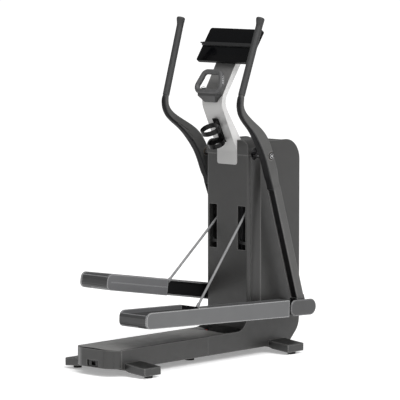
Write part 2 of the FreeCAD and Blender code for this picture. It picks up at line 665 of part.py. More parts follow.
def bottle_holder():
    """Two rings and a spine that hold a bottle against the lower mast."""
    lean = math.radians(HOLDER_LEAN)
    axis = Vector(0, -math.sin(lean), math.cos(lean))
    outward = Vector(0, -math.cos(lean), -math.sin(lean))
    upper = Vector(0, -133, 1223)
    lower = Vector(0, -87, 1148)
    upper_band = ring(upper, axis, 27, 54, 49.5)
    lower_band = ring(lower, axis, 24, 46, 41.5)
    floor = rod(lower - axis * 12, lower - axis * 8, 46).cut(
        rod(lower - axis * 13, lower - axis * 7, 20))
    spine = Part.makeBox(30, 19, 180, Vector(-15, 0, -140))
    spine.rotate(Vector(0, 0, 0), X_AXIS, HOLDER_LEAN)
    spine.translate(upper - outward * 51)
    cup = rod(upper - axis * 40, upper + axis * 40, 49.5)
    lower_cup = rod(lower - axis * 8, lower + axis * 20, 41.5)
    spine = spine.cut(cup).cut(lower_cup)
    spine = spine.common(block((-20, 20), (-200, 40), (1152, 1282)))
    return upper_band.fuse(lower_band).fuse(floor).fuse(spine).cut(mast_body())


# ---- arms (own frame: shaft axis at the origin, lower hinge straight below) ------------------
def blade_section(y, z, lean, x, width, depth, radius):
    """One cross-section of the arm, square to its run, with rounded corners."""
    half_x, half_y = width / 2, depth / 2
    corners = [(Vector(-half_x, -half_y, 0), radius), (Vector(half_x, -half_y, 0), radius),
               (Vector(half_x, half_y, 0), radius), (Vector(-half_x, half_y, 0), radius)]
    wire = rounded_wire(corners)
    wire.rotate(Vector(0, 0, 0), X_AXIS, lean)
    wire.translate(Vector(x, y, z))
    return wire


GRIP_START = Vector(GRIP_X, -133, 389)
GRIP_END = Vector(GRIP_X, 126, 720)


def arm():
    """Blade, swan neck and grip tube, one casting from hinge eye to handle."""
    lean = FreeCAD.Rotation(X_AXIS, BLADE_LEAN)
    top = lean.multVec(Vector(0, (BLADE_FRONT + BLADE_BACK) / 2, ARM_LENGTH - NECK_DROP))
    depth = BLADE_BACK - BLADE_FRONT
    lean_grip = -math.degrees(math.atan2(GRIP_END.y - GRIP_START.y, GRIP_END.z - GRIP_START.z))
    stations = [
        (top.y, top.z - ARM_LENGTH, BLADE_LEAN, ARM_X, ARM_THICKNESS, depth, BLADE_EDGE),
        (top.y - 1, -120, 2, ARM_X, ARM_THICKNESS, depth + 3, BLADE_EDGE),
        (-7, -40, 7, ARM_X, ARM_THICKNESS, 68, BLADE_EDGE),
        (-16, 40, 12, ARM_X + 1, ARM_THICKNESS, 71, BLADE_EDGE),
        (-37, 110, 24, ARM_X + 5, 49, 71, BLADE_EDGE + 1),
        (-60, 155, 31, ARM_X + 9, 46, 62, BLADE_EDGE + 2),
        (-86, 195, 33, ARM_X + 13, 44, 52, BLADE_EDGE + 4),
        (-126, 250, 28, ARM_X + 19, 41, 45, BLADE_EDGE + 5),
        (-154, 306, 10, GRIP_X - 3, 38, 41, BLADE_EDGE + 7),
        (-153, 352, -22, GRIP_X, 35, 37, 15),
        (GRIP_START.y, GRIP_START.z, lean_grip, GRIP_X, 32, 32, 15.5)]
    neck = Part.makeLoft([blade_section(*station) for station in stations], True, False)
    outline = [(BLADE_FRONT, -ARM_LENGTH - 30, 29), (BLADE_BACK, -ARM_LENGTH - 30, 29),
               (BLADE_BACK, -NECK_DROP, 0), (BLADE_FRONT, -NECK_DROP, 0)]
    low_x, high_x = ARM_X - ARM_THICKNESS / 2, ARM_X + ARM_THICKNESS / 2
    blade = side_plate(outline, low_x, high_x)
    plan = [(low_x, BLADE_FRONT, BLADE_EDGE), (high_x, BLADE_FRONT, BLADE_EDGE),
            (high_x, BLADE_BACK, BLADE_EDGE), (low_x, BLADE_BACK, BLADE_EDGE)]
    square_end = block((low_x, high_x), (BLADE_FRONT, BLADE_BACK),
                       (-ARM_LENGTH - 31, -ARM_LENGTH + 60))
    blade = blade.common(floor_plate(plan, -ARM_LENGTH - 31, -NECK_DROP).fuse(square_end))
    half_channel = ARM_THICKNESS / 2 - CHANNEL_LIP
    channel = [(ARM_X - half_channel, -ARM_LENGTH + 62, 6), (ARM_X + half_channel, -ARM_LENGTH + 62, 6),
               (ARM_X + half_channel, -NECK_DROP - 2, 6), (ARM_X - half_channel, -NECK_DROP - 2, 6)]
    blade = blade.cut(front_plate(channel, BLADE_FRONT - 1, BLADE_FRONT + CHANNEL_DEPTH))
    blade.rotate(Vector(0, 0, -ARM_LENGTH), X_AXIS, BLADE_LEAN)
    tube = rod(GRIP_START, GRIP_END, GRIP_TUBE_RADIUS)
    bore = rod(Vector(low_x - 9, 0, 0), Vector(high_x + 9, 0, 0), 22)
    eye = rod(Vector(low_x - 9, 0, -ARM_LENGTH), Vector(high_x + 9, 0, -ARM_LENGTH),
              HINGE_PIN_RADIUS + FIT)
    return blade.fuse(neck).fuse(tube).cut(bore).cut(eye)


def arm_bush():
    """Bearing bush pressed into the arm's upper bore."""
    return ring(Vector(ARM_X - 1, 0, 0), X_AXIS, ARM_THICKNESS - 6, 22, SHAFT_RADIUS + FIT)


def pivot_cap():
    """Polished cover over the shaft's end."""
    start = Vector(ARM_X + ARM_THICKNESS / 2 + GAP, 0, 0)
    disc = rod(start, start + X_AXIS * 4, 13)
    plug = rod(start - X_AXIS, start, 11)
    return disc.fuse(plug)


def grip():
    """Soft sleeve over the upper end of the arm."""
    run = (GRIP_END - GRIP_START).normalize()
    sleeve = rod(GRIP_START + run * 2, GRIP_END - run * (KNOB_LENGTH - KNOB_OVERHANG), GRIP_RADIUS)
    return sleeve.cut(rod(GRIP_START - run * 3, GRIP_END + run * 3, GRIP_TUBE_RADIUS + FIT))


def grip_cap():
    """Knob on the grip's end, swelling towards the back."""
    run = (GRIP_END - GRIP_START).normalize()
    back = run.cross(X_AXIS) * -1
    start = GRIP_END - run * (KNOB_LENGTH - KNOB_OVERHANG - GAP)
    rings = []
    for along, swell in ((0, 0), (0.25, 0.2), (0.6, 0.8), (1, 1)):
        centre = start + run * (KNOB_LENGTH - GAP) * along + back * KNOB_SWELL * swell
        rings.append(Part.Wire(Part.makeCircle(GRIP_RADIUS + KNOB_SWELL * swell, centre, run)))
    knob = Part.makeLoft(rings, True, False)
    tip = start + run * (KNOB_LENGTH - GAP)
    rim = min(knob.Edges, key=lambda edge: (edge.CenterOfMass - tip).Length)
    knob = knob.makeFillet(KNOB_ROUND, [rim])
    return knob.cut(rod(GRIP_START, GRIP_END, GRIP_TUBE_RADIUS + FIT))


# ---- levers (own frame: hinge axis at the origin, front end towards -Y) ----------------------
def lever_beam():
    """Steel beam of the foot lever, its fork round the arm and the cable's anchor pin."""
    inner, outer = 209.0, 262.0
    rear = block((inner, outer), (-PEDAL_REAR, -130), (-34, 34))
    front = block((inner, outer), (-LEVER_LENGTH + 50, -PEDAL_REAR), (-34, 12))
    beam = rear.fuse(front)
    beam = beam.cut(block((inner + 4, outer - 4), (-PEDAL_REAR - 1, -140), (-30, 30)))
    beam = beam.cut(block((inner + 4, outer - 4), (-LEVER_LENGTH + 40, -PEDAL_REAR), (-30, 8)))
    ear = [(-240, -34, 8), (40, -34, 33), (40, 34, 33), (-240, 34, 8)]
    inner_ear = side_plate(ear, LEVER_INNER_X, inner)
    outer_ear = side_plate(ear, outer, 270)
    pin_bore = rod(Vector(190, 0, 0), Vector(290, 0, 0), HINGE_PIN_RADIUS + FIT)
    arm_bar = side_plate([(-ANCHOR_Y - 14, -8, 4), (-ANCHOR_Y + 14, -8, 4),
                          (-ANCHOR_Y + 12, ANCHOR_Z + 10, 9), (-ANCHOR_Y - 12, ANCHOR_Z + 10, 9)],
                         157, 165)
    strut = block((157, inner), (-ANCHOR_Y - 14, -ANCHOR_Y + 14), (-8, 14))
    pin = rod(Vector(132, -ANCHOR_Y, ANCHOR_Z), Vector(160, -ANCHOR_Y, ANCHOR_Z),
              ANCHOR_PIN_RADIUS)
    head = rod(Vector(129, -ANCHOR_Y, ANCHOR_Z), Vector(132, -ANCHOR_Y, ANCHOR_Z), 9)
    tray_end = block((PEDAL_INNER_X + 1, inner), (-PEDAL_REAR + GAP, -PEDAL_REAR + 6), (-34, 34))
    tray_edge = block((PEDAL_INNER_X + 1, LEVER_INNER_X + 1.5), (-PEDAL_REAR + GAP, -PEDAL_REAR + 6),
                      (30, 41))
    shape = beam.fuse(inner_ear).fuse(outer_ear)
    for piece in (tray_end, tray_edge, arm_bar, strut, pin, head):
        shape = shape.fuse(piece)
    return shape.cut(pin_bore)


def hinge_pin():
    """Pin of the lower hinge with the round swivel plate on its inner end."""
    plate_end = LEVER_INNER_X - GAP
    plate_start = plate_end - SWIVEL_THICKNESS
    pin = rod(Vector(plate_start, 0, 0), Vector(270.3, 0, 0), HINGE_PIN_RADIUS)
    plate = rod(Vector(plate_start, 0, 0), Vector(plate_end, 0, 0), SWIVEL_RADIUS)
    return pin.fuse(plate)


def lever_skin():
    """Outer cover of the lever with the lips that fold over its beam."""
    outline = [(-LEVER_LENGTH, -42, 30), (-125, -45, 3), (-125, 45, 3), (-LEVER_LENGTH, 42, 34)]
    plate = side_plate(outline, 271, LEVER_OUTER_X)
    upper = side_plate([(-PEDAL_REAR + 0.5, 36, 0), (-125, 36, 0), (-125, 45, 0),
                        (-PEDAL_REAR + 0.5, 43.3, 0)], LEVER_INNER_X + 2, 271)
    lower = side_plate([(-PEDAL_REAR + 0.5, -43.3, 0), (-125, -45, 0), (-125, -36, 0),
                        (-PEDAL_REAR + 0.5, -36, 0)], LEVER_INNER_X + 2, 271)
    return plate.fuse(upper).fuse(lower)


def hinge_cap():
    """Round-ended cover on the outer side of the lower hinge."""
    outline = [(-CAP_FRONT, -CAP_HALF_HEIGHT, 38), (CAP_REAR, -CAP_HALF_HEIGHT, CAP_HALF_HEIGHT - 0.1),
               (CAP_REAR, CAP_HALF_HEIGHT, CAP_HALF_HEIGHT - 0.1), (-CAP_FRONT, CAP_HALF_HEIGHT, 38)]
    return side_plate(outline, 270.5, LEVER_OUTER_X)


def pedal_tray():
    """Moulded foot platform: side walls, rounded front, open at the back."""
    front = -LEVER_LENGTH
    outline = [(front, -42, 30), (-PEDAL_REAR, -43, 4), (-PEDAL_REAR, 43, 4), (front, 42, 34)]
    body = side_plate(outline, PEDAL_INNER_X, 270.8)
    recess = [(front + 22, 18, 0), (-PEDAL_REAR + 40, 18, 0), (-PEDAL_REAR + 40, 60, 0),
              (front + 2, 60, 0), (front + 2, 32, 0)]
    body = body.cut(side_plate(recess, PEDAL_INNER_X + 9, 271))
    body = body.cut(block((PEDAL_INNER_X + 6, 204), (front + 12, -PEDAL_REAR + 1), (-38, 13)))
    body = body.cut(block((208.7, 262.3), (front + 30, -PEDAL_REAR + 1), (-34.3, 12.3)))
    groove = block((PEDAL_INNER_X - 1, PEDAL_INNER_X + 1), (front + 30, -PEDAL_REAR + 1), (1, 3))
    return body.cut(groove)


def pedal_mat():
    """Rubber tread on the platform."""
    plan = [(PEDAL_INNER_X + 13, -LEVER_LENGTH + 32, 14), (262, -LEVER_LENGTH + 32, 14),
            (262, -PEDAL_REAR - 14, 14), (PEDAL_INNER_X + 13, -PEDAL_REAR - 14, 14)]
    return floor_plate(plan, 18.1, 22)


def cable_bush():
    """Sleeve between the anchor pin and the cable's eye."""
    return ring(Vector(ANCHOR_X, 0, 0), X_AXIS, 20, 8.5, ANCHOR_PIN_RADIUS + FIT)


def cable(anchor, slot_point, inside):
    """Braided cable from its eye on the lever to its free run inside the tower."""
    run = (slot_point - anchor).normalize()
    end = slot_point + run * inside
    line = rod(anchor + run * 12, end, CABLE_RADIUS)
    ferrule = rod(anchor + run * 12, anchor + run * 44, CABLE_RADIUS + 2.5)
    eye = rod(Vector(anchor.x - 7, anchor.y, anchor.z), Vector(anchor.x + 7, anchor.y, anchor.z), 15)
    bore = rod(Vector(anchor.x - 20, anchor.y, anchor.z),
               Vector(anchor.x + 20, anchor.y, anchor.z), 8.5 + FIT)
    return line.fuse(ferrule).fuse(eye).cut(bore)


# ---- one side in place ----------------------------------------------------------------------
def arm_place(shape, side, arm_angle):
    """Carries an arm piece to its resting place."""
    placed = shape.copy()
    placed.rotate(Vector(0, 0, 0), X_AXIS, arm_angle)
    placed.translate(Vector(0, SHAFT_Y, SHAFT_Z))
    return placed if side == "right" else mirror_x(placed)


def hinge_point(arm_angle):
    """Lower hinge axis for an arm angle."""
    angle = math.radians(arm_angle)
    return Vector(0, SHAFT_Y + ARM_LENGTH * math.sin(angle), SHAFT_Z - ARM_LENGTH * math.cos(angle))


def lever_place(shape, side, arm_angle, pitch):
    """Carries a lever piece to its resting place."""
    placed = shape.copy()
    placed.rotate(Vector(0, 0, 0), X_AXIS, -pitch)
    placed.translate(hinge_point(arm_angle))
    return placed if side == "right" else mirror_x(placed)


def anchor_point(arm_angle, pitch):
    """Cable anchor axis for an arm angle and a lever pitch."""
    angle = math.radians(-pitch)
    y = -ANCHOR_Y * math.cos(angle) - ANCHOR_Z * math.sin(angle)
    z = -ANCHOR_Y * math.sin(angle) + ANCHOR_Z * math.cos(angle)
    return hinge_point(arm_angle) + Vector(0, y, z)


def side_nodes(side, arm_angle, pitch, slot_z, inside):
    """All the moving pieces of one side."""
    arm_pieces = {"arm": arm(), "arm_bush": arm_bush(), "pivot_cap": pivot_cap(), "grip": grip(),
                  "grip_cap": grip_cap()}
    lever_pieces = {"lever_beam": lever_beam(), "lever_skin": lever_skin(),
                    "hinge_cap": hinge_cap(), "hinge_pin": hinge_pin(),
                    "pedal_tray": pedal_tray(), "pedal_mat": pedal_mat()}
    nodes = {}
    for name, shape in arm_pieces.items():
        nodes[name + "_" + side] = arm_place(shape, side, arm_angle)
    for name, shape in lever_pieces.items():
        nodes[name + "_" + side] = lever_place(shape, side, arm_angle, pitch)
    anchor = anchor_point(arm_angle, pitch)
    bush = cable_bush().translated(anchor)
    rope = cable(Vector(ANCHOR_X, anchor.y, anchor.z), Vector(CABLE_SLOT_X, 0, slot_z), inside)
    nodes["cable_bush_" + side] = bush if side == "right" else mirror_x(bush)
    nodes["cable_" + side] = rope if side == "right" else mirror_x(rope)
    return nodes


def all_nodes():
    """Every piece of the machine by name, before the shift to the origin."""
    nodes = {
        "front_foot": foot(FRONT_FOOT_Y),
        "rear_foot": foot(REAR_FOOT_Y),
        "levelling_feet": levelling_feet(),
        "base_frame": base_frame(),
        "base_side_right": base_side(),
        "base_side_left": mirror_x(base_side()),
        "tower_side_right": tower_side(),
        "tower_side_left": mirror_x(tower_side()),
        "base_deck": base_deck(),
        "nose_cap": nose_cap(),
        "power_inlet": power_inlet(),
        "tower_front_panel": tower_front_panel(),
        "tower_rear_cover": tower_rear_cover(),
        "tower_top_cap": tower_top_cap(),
        "tower_frame": tower_frame(),
        "pivot_shaft": pivot_shaft(),
        "base_underpan": base_underpan(),
        "cable_fairleads": cable_fairleads(),
        "flywheel": flywheel(),
        "flywheel_axle": flywheel_axle(),
        "alternator": alternator(),
        "alternator_pulley": alternator_pulley(),
        "drive_belt": drive_belt(),
        "cable_drum": cable_drum(),
        "mast": mast(),
        "mast_front_cover": mast_front_cover(),
        "console_housing": console_housing(),
        "console_screen": console_screen(),
        "device_ledge": device_ledge(),
        "loop_handle": loop_handle().cut(switch_space()),
        "loop_bracket": loop_bracket(),
        "pulse_plates": pulse_plates(),
        "loop_switch": loop_switch(),
        "bottle_holder": bottle_holder()}
    nodes.update(side_nodes("right", RIGHT_ARM_ANGLE, RIGHT_LEVER_PITCH, RIGHT_CABLE_SLOT_Z,
                            RIGHT_CABLE_INSIDE))
    nodes.update(side_nodes("left", LEFT_ARM_ANGLE, LEFT_LEVER_PITCH, LEFT_CABLE_SLOT_Z,
                            LEFT_CABLE_INSIDE))
    return nodes


def main():
    os.makedirs("parts", exist_ok=True)
    for name, shape in sorted(all_nodes().items()):
        solid = tidy(shape)
        solid.translate(Vector(0, -ORIGIN_Y, 0))
        solid.exportStep("parts/" + name + ".step")
        state = "" if solid.isValid() else "  NOT VALID"
        print("%-20s solids %d  volume %.1f cm3%s"
              % (name, len(solid.Solids), solid.Volume / 1000, state))


if __name__ == "__main__":
    main()
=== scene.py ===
import json
import math
import bmesh
import bpy
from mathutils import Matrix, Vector
from mathutils.bvhtree import BVHTree


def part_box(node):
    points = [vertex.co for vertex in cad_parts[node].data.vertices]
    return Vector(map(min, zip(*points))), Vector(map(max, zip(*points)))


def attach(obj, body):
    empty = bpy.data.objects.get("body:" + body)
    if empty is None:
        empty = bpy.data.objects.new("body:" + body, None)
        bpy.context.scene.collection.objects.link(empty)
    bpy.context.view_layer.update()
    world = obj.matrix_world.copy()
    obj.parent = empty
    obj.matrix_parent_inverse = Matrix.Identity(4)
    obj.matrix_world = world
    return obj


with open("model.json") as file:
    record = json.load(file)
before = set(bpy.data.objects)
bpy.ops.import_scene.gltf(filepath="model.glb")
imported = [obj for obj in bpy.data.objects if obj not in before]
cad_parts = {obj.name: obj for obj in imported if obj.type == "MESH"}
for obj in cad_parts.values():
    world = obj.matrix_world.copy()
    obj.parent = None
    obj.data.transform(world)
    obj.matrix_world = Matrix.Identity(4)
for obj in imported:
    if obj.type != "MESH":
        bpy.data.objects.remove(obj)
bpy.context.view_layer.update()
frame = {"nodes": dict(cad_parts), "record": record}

nodes = frame["nodes"]
FACE_GAP = 0.0005                   # keeps the details clear of the tower's front face
tower_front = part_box("tower_front_panel")[0].y - FACE_GAP
ACROSS = Vector((1, 0, 0))          # towards the machine's right
BACK = Vector((0, 1, 0))            # from the platforms towards the tower
DOWN = Vector((0, 0, -1))

# ---- camera and stage -----------------------------------------------------------------------
AZIMUTH = math.radians(42.78)       # the camera stands to the user's right, behind the pedals
ELEVATION = math.radians(5.75)
DISTANCE = 16.03
LENS = 267.7
AIM = Vector((-0.105, 0.1755, 0.8364))
FLOOR_HALF_SIZE = 40
FLOOR_GLOW = 0.3                    # keeps the floor pale out to the horizon
BACKDROP = 1.05                     # brightness of the surroundings as seen
ROOM_LIGHT = 0.26                   # brightness of the surroundings as a light
KEY_LIGHT = 2.7
KEY_SOFTNESS = math.radians(50)
KEY_DIRECTION = Vector((-1.0, 0.15, -1.05))
SOFT_BOXES = (("top_box", (0.4, -1.2, 5.0), (3, 3), 70),
              ("front_box", (2.0, -6.0, 2.2), (2.5, 3.0), 45))


def add_camera():
    """Long lens at the standing viewer's height."""
    back = Vector((math.sin(AZIMUTH) * math.cos(ELEVATION),
                   -math.cos(AZIMUTH) * math.cos(ELEVATION), math.sin(ELEVATION)))
    data = bpy.data.cameras.new("camera")
    data.lens = LENS
    data.sensor_width = 36
    data.clip_end = 100
    camera = bpy.data.objects.new("camera", data)
    bpy.context.scene.collection.objects.link(camera)
    camera.location = AIM + back * DISTANCE
    camera.rotation_mode = "QUATERNION"
    camera.rotation_quaternion = (-back).to_track_quat("-Z", "Y")
    bpy.context.scene.camera = camera


def add_soft_box(name, place, size, power):
    """A rectangular light turned towards the middle of the machine."""
    data = bpy.data.lights.new(name, "AREA")
    data.shape = "RECTANGLE"
    data.size, data.size_y = size
    data.energy = power
    light = bpy.data.objects.new(name, data)
    bpy.context.scene.collection.objects.link(light)
    light.location = place
    light.rotation_mode = "QUATERNION"
    light.rotation_quaternion = (Vector((0, 0, 0.9)) - Vector(place)).to_track_quat("-Z", "Y")


def floor_material():
    """Matt, pale and slightly self-lit."""
    material = bpy.data.materials.new("floor")
    material.use_nodes = True
    inputs = material.node_tree.nodes["Principled BSDF"].inputs
    inputs["Base Color"].default_value = (0.95, 0.95, 0.95, 1)
    inputs["Roughness"].default_value = 0.9
    inputs["Emission Color"].default_value = (1, 1, 1, 1)
    inputs["Emission Strength"].default_value = FLOOR_GLOW
    return material


def add_stage():
    """Pale floor, white surroundings and soft boxes."""
    mesh = bpy.data.meshes.new("floor")
    build = bmesh.new()
    bmesh.ops.create_grid(build, x_segments=1, y_segments=1, size=FLOOR_HALF_SIZE)
    build.to_mesh(mesh)
    build.free()
    floor = bpy.data.objects.new("floor", mesh)
    bpy.context.scene.collection.objects.link(floor)
    floor.data.materials.append(floor_material())
    world = bpy.data.worlds.new("studio")
    bpy.context.scene.world = world
    world.use_nodes = True
    tree = world.node_tree
    backdrop = tree.nodes["Background"]
    backdrop.inputs["Color"].default_value = (1, 1, 1, 1)
    backdrop.inputs["Strength"].default_value = BACKDROP
    room = tree.nodes.new("ShaderNodeBackground")
    room.inputs["Color"].default_value = (1, 1, 1, 1)
    room.inputs["Strength"].default_value = ROOM_LIGHT
    rays = tree.nodes.new("ShaderNodeLightPath")
    choose = tree.nodes.new("ShaderNodeMixShader")
    tree.links.new(rays.outputs["Is Camera Ray"], choose.inputs["Fac"])
    tree.links.new(room.outputs["Background"], choose.inputs[1])
    tree.links.new(backdrop.outputs["Background"], choose.inputs[2])
    tree.links.new(choose.outputs["Shader"], tree.nodes["World Output"].inputs["Surface"])
    sun = bpy.data.lights.new("key", "SUN")
    sun.energy = KEY_LIGHT
    sun.angle = KEY_SOFTNESS
    key = bpy.data.objects.new("key", sun)
    bpy.context.scene.collection.objects.link(key)
    key.rotation_mode = "QUATERNION"
    key.rotation_quaternion = KEY_DIRECTION.to_track_quat("-Z", "Y")
    for soft_box in SOFT_BOXES:
        add_soft_box(*soft_box)
    bpy.context.scene.view_settings.view_transform = "Standard"


# ---- materials ------------------------------------------------------------------------------
class Recipe:
    """Node-tree helper: a Principled material and small steps to wire it."""

    def __init__(self, name, colour, roughness, metallic=0.0):
        self.material = bpy.data.materials.new(name)
        self.material.use_nodes = True
        self.tree = self.material.node_tree
        self.shader = self.tree.nodes["Principled BSDF"]
        self.colour = colour
        self.roughness = roughness
        self.shader.inputs["Base Color"].default_value = (*colour, 1)
        self.shader.inputs["Roughness"].default_value = roughness
        self.shader.inputs["Metallic"].default_value = metallic
        self.coordinates = self.node("ShaderNodeTexCoord")
        self.place = self.coordinates.outputs["Object"]
        self.paint = None
        self.normal = None

    def node(self, kind, **values):
        made = self.tree.nodes.new(kind)
        for key, value in values.items():
            setattr(made, key, value)
        return made

    def link(self, output, target):
        self.tree.links.new(output, target)

    def stretched(self, stretch, turn=(0, 0, 0)):
        """The object's coordinates, turned and then scaled per axis."""
        turned = self.node("ShaderNodeMapping")
        turned.inputs["Rotation"].default_value = turn
        scaled = self.node("ShaderNodeMapping")
        scaled.inputs["Scale"].default_value = stretch
        self.link(self.place, turned.inputs["Vector"])
        self.link(turned.outputs["Vector"], scaled.inputs["Vector"])
        return scaled.outputs["Vector"]

    def noise(self, scale, detail=3.0, stretch=None):
        made = self.node("ShaderNodeTexNoise")
        made.inputs["Scale"].default_value = scale
        made.inputs["Detail"].default_value = detail
        source = self.place if stretch is None else self.stretched(stretch)
        self.link(source, made.inputs["Vector"])
        return made.outputs["Fac"]

    def cells(self, scale):
        made = self.node("ShaderNodeTexVoronoi", feature="DISTANCE_TO_EDGE")
        made.inputs["Scale"].default_value = scale
        self.link(self.place, made.inputs["Vector"])
        return made.outputs["Distance"]

    def stripes(self, scale, turn):
        """Even stripes across the turned X axis."""
        made = self.node("ShaderNodeTexWave", wave_type="BANDS", bands_direction="X")
        made.inputs["Scale"].default_value = scale
        made.inputs["Distortion"].default_value = 0.4
        self.link(self.stretched((1, 1, 1), turn), made.inputs["Vector"])
        return made.outputs["Fac"]

    def math(self, operation, first, second):
        made = self.node("ShaderNodeMath", operation=operation)
        for socket, value in zip(made.inputs, (first, second)):
            if isinstance(value, (int, float)):
                socket.default_value = value
            else:
                self.link(value, socket)
        return made.outputs["Value"]

    def spread(self, value, low, high, from_low=0.3, from_high=0.7):
        """Maps a 0..1 pattern onto a range of values."""
        made = self.node("ShaderNodeMapRange")
        made.inputs["From Min"].default_value = from_low
        made.inputs["From Max"].default_value = from_high
        made.inputs["To Min"].default_value = low
        made.inputs["To Max"].default_value = high
        self.link(value, made.inputs["Value"])
        return made.outputs["Result"]

    def facing(self, axis, low, high):
        """1 where the surface faces along an object axis (0 x, 1 y, 2 z), 0 where it doesn't."""
        split = self.node("ShaderNodeSeparateXYZ")
        self.link(self.coordinates.outputs["Normal"], split.inputs["Vector"])
        return self.spread(split.outputs[axis], 0.0, 1.0, low, high)

    def start_from_paint(self, socket):
        """Feeds the paint so far, or the plain colour, into a colour socket."""
        if self.paint is None:
            socket.default_value = (*self.colour, 1)
        else:
            self.link(self.paint, socket)

    def repaint(self, colour, mask):
        """Paints a second colour where the mask is 1."""
        made = self.node("ShaderNodeMix", data_type="RGBA")
        self.link(mask, made.inputs["Factor"])
        self.start_from_paint(made.inputs["A"])
        made.inputs["B"].default_value = (*colour, 1)
        self.paint = made.outputs["Result"]
        self.link(self.paint, self.shader.inputs["Base Color"])

    def painted_edge_shading(self, colour, radius):
        """Paints a band of the given colour along the piece's corners: painted edge light, a
        painted highlight where the colour is lighter than the piece and painted shade where it is
        darker.
        """
        rounded_normal = self.node("ShaderNodeBevel", samples=6)
        rounded_normal.inputs["Radius"].default_value = radius
        flat = self.node("ShaderNodeNewGeometry").outputs["Normal"]
        dot = self.node("ShaderNodeVectorMath", operation="DOT_PRODUCT")
        self.link(rounded_normal.outputs["Normal"], dot.inputs[0])
        self.link(flat, dot.inputs[1])
        # painted highlight or painted shade along the corners, by the band's colour
        self.repaint(colour, self.spread(dot.outputs["Value"], 1.0, 0.0, 0.93, 0.997))
        return self

    def tint(self, value, amount):
        """Varies the colour's brightness a little by a pattern."""
        made = self.node("ShaderNodeMix", data_type="RGBA", blend_type="MULTIPLY")
        made.inputs["Factor"].default_value = 1.0
        shade = self.spread(value, 1.0 - amount, 1.0 + amount)
        combine = self.node("ShaderNodeCombineColor")
        for channel in ("Red", "Green", "Blue"):
            self.link(shade, combine.inputs[channel])
        self.start_from_paint(made.inputs["A"])
        self.link(combine.outputs["Color"], made.inputs["B"])
        self.paint = made.outputs["Result"]
        self.link(self.paint, self.shader.inputs["Base Color"])

    def rough(self, value, amount):
        low = max(0.02, self.roughness - amount)
        high = min(1.0, self.roughness + amount)
        self.link(self.spread(value, low, high), self.shader.inputs["Roughness"])

    def bump(self, value, depth):
        """Adds a relief of the given depth in metres."""
        made = self.node("ShaderNodeBump")
        made.inputs["Distance"].default_value = depth
        self.link(value, made.inputs["Height"])
        if self.normal is not None:
            self.link(self.normal, made.inputs["Normal"])
        self.normal = made.outputs["Normal"]
        self.link(self.normal, self.shader.inputs["Normal"])

    def shine(self, level):
        self.shader.inputs["Specular IOR Level"].default_value = level
        return self

    def lacquer(self, weight, roughness):
        self.shader.inputs["Coat Weight"].default_value = weight
        self.shader.inputs["Coat Roughness"].default_value = roughness
        return self


def moulded(name, colour, roughness, grain=900, depth=0.00006, drift=0.06):
    """Moulded plastic: fine spark-eroded grain and slow unevenness of colour and gloss."""
    made = Recipe(name, colour, roughness)
    made.tint(made.noise(5.0, 4.0), drift)
    made.rough(made.noise(22.0, 5.0), 0.06)
    made.bump(made.noise(grain, 2.0), depth)
    return made


def powder_coat(name, colour, roughness=0.42):
    """Baked powder paint: a low orange-peel relief under an even satin."""
    made = Recipe(name, colour, roughness)
    made.tint(made.noise(7.0, 3.0), 0.05)
    made.rough(made.noise(45.0, 4.0), 0.05)
    made.bump(made.noise(420.0, 1.0), 0.00012)
    return made


def rubber(name, colour, roughness=0.82):
    """Matt rubber with a pebbled skin and a little dust, spread unevenly."""
    made = Recipe(name, colour, roughness)
    made.tint(made.noise(60.0, 5.0), 0.14)
    made.rough(made.noise(30.0, 3.0), 0.08)
    made.bump(made.cells(700.0), 0.00018)
    return made


def metal(name, colour, roughness, brushing, strength=0.00003):
    """Metal with fine tool marks drawn out along one axis."""
    made = Recipe(name, colour, roughness, 1.0)
    marks = made.noise(60.0, 6.0, brushing)
    made.tint(marks, 0.08)
    made.rough(marks, 0.08)
    made.bump(marks, strength)
    return made


def cast(name, colour, roughness=0.55):
    """Cast metal: a coarse sand skin."""
    made = Recipe(name, colour, roughness, 1.0)
    made.tint(made.noise(90.0, 6.0), 0.12)
    made.rough(made.noise(50.0, 4.0), 0.1)
    made.bump(made.noise(650.0, 3.0), 0.00022)
    return made


def gloss_black(name, colour, roughness=0.12):
    """Polished black plastic with a faint flow unevenness."""
    made = Recipe(name, colour, roughness).shine(0.16)
    made.tint(made.noise(9.0, 3.0), 0.15)
    made.rough(made.noise(35.0, 5.0), 0.05)
    made.bump(made.noise(14.0, 2.0), 0.00008)
    return made


def braid(name, colour):
    """Braided cable: two families of strands crossing on the slant."""
    made = Recipe(name, colour, 0.5)
    rising = made.stripes(95.0, (0.7, 0.5, 0.4))
    falling = made.stripes(95.0, (-0.7, 0.5, -0.4))
    weave = made.math("MAXIMUM", rising, falling)
    made.repaint((0.12, 0.12, 0.125), made.spread(weave, 1.0, 0.0, 0.25, 0.75))
    made.tint(made.noise(800.0, 2.0), 0.1)
    made.rough(weave, 0.1)
    made.bump(weave, 0.0006)
    return made


def arm_paint():
    """Grey casting whose faces turned towards the front are near-black from the hinge to the grip,
    with a painted highlight along its edges.
    """
    made = powder_coat("arm_paint", (0.06, 0.0595, 0.058))
    # painted highlight: a lighter band along the arm's edges
    made.painted_edge_shading((0.2, 0.198, 0.195), 0.007)
    made.repaint((0.011, 0.011, 0.012), made.facing(1, -0.3, -0.5))
    return made


def mast_paint():
    """Silver mast, painted darker on its front faces as painted shade."""
    made = powder_coat("mast_silver", (0.61, 0.605, 0.6), 0.38)
    # painted shade: the faces turned towards the front are darker
    made.repaint((0.385, 0.382, 0.378), made.facing(1, -0.35, -0.55))
    return made.lacquer(0.3, 0.2)


def tray_plastic():
    """Grey foot platform with painted shade on its front faces and a painted highlight along its
    edges.
    """
    made = moulded("pedal_plastic", (0.105, 0.106, 0.11), 0.42)
    # painted shade: the faces turned towards the front are darker
    made.repaint((0.036, 0.036, 0.037), made.facing(1, -0.3, -0.6))
    # painted highlight: a lighter band along the platform's edges
    return made.lacquer(0.15, 0.25).painted_edge_shading((0.3, 0.3, 0.305), 0.008)


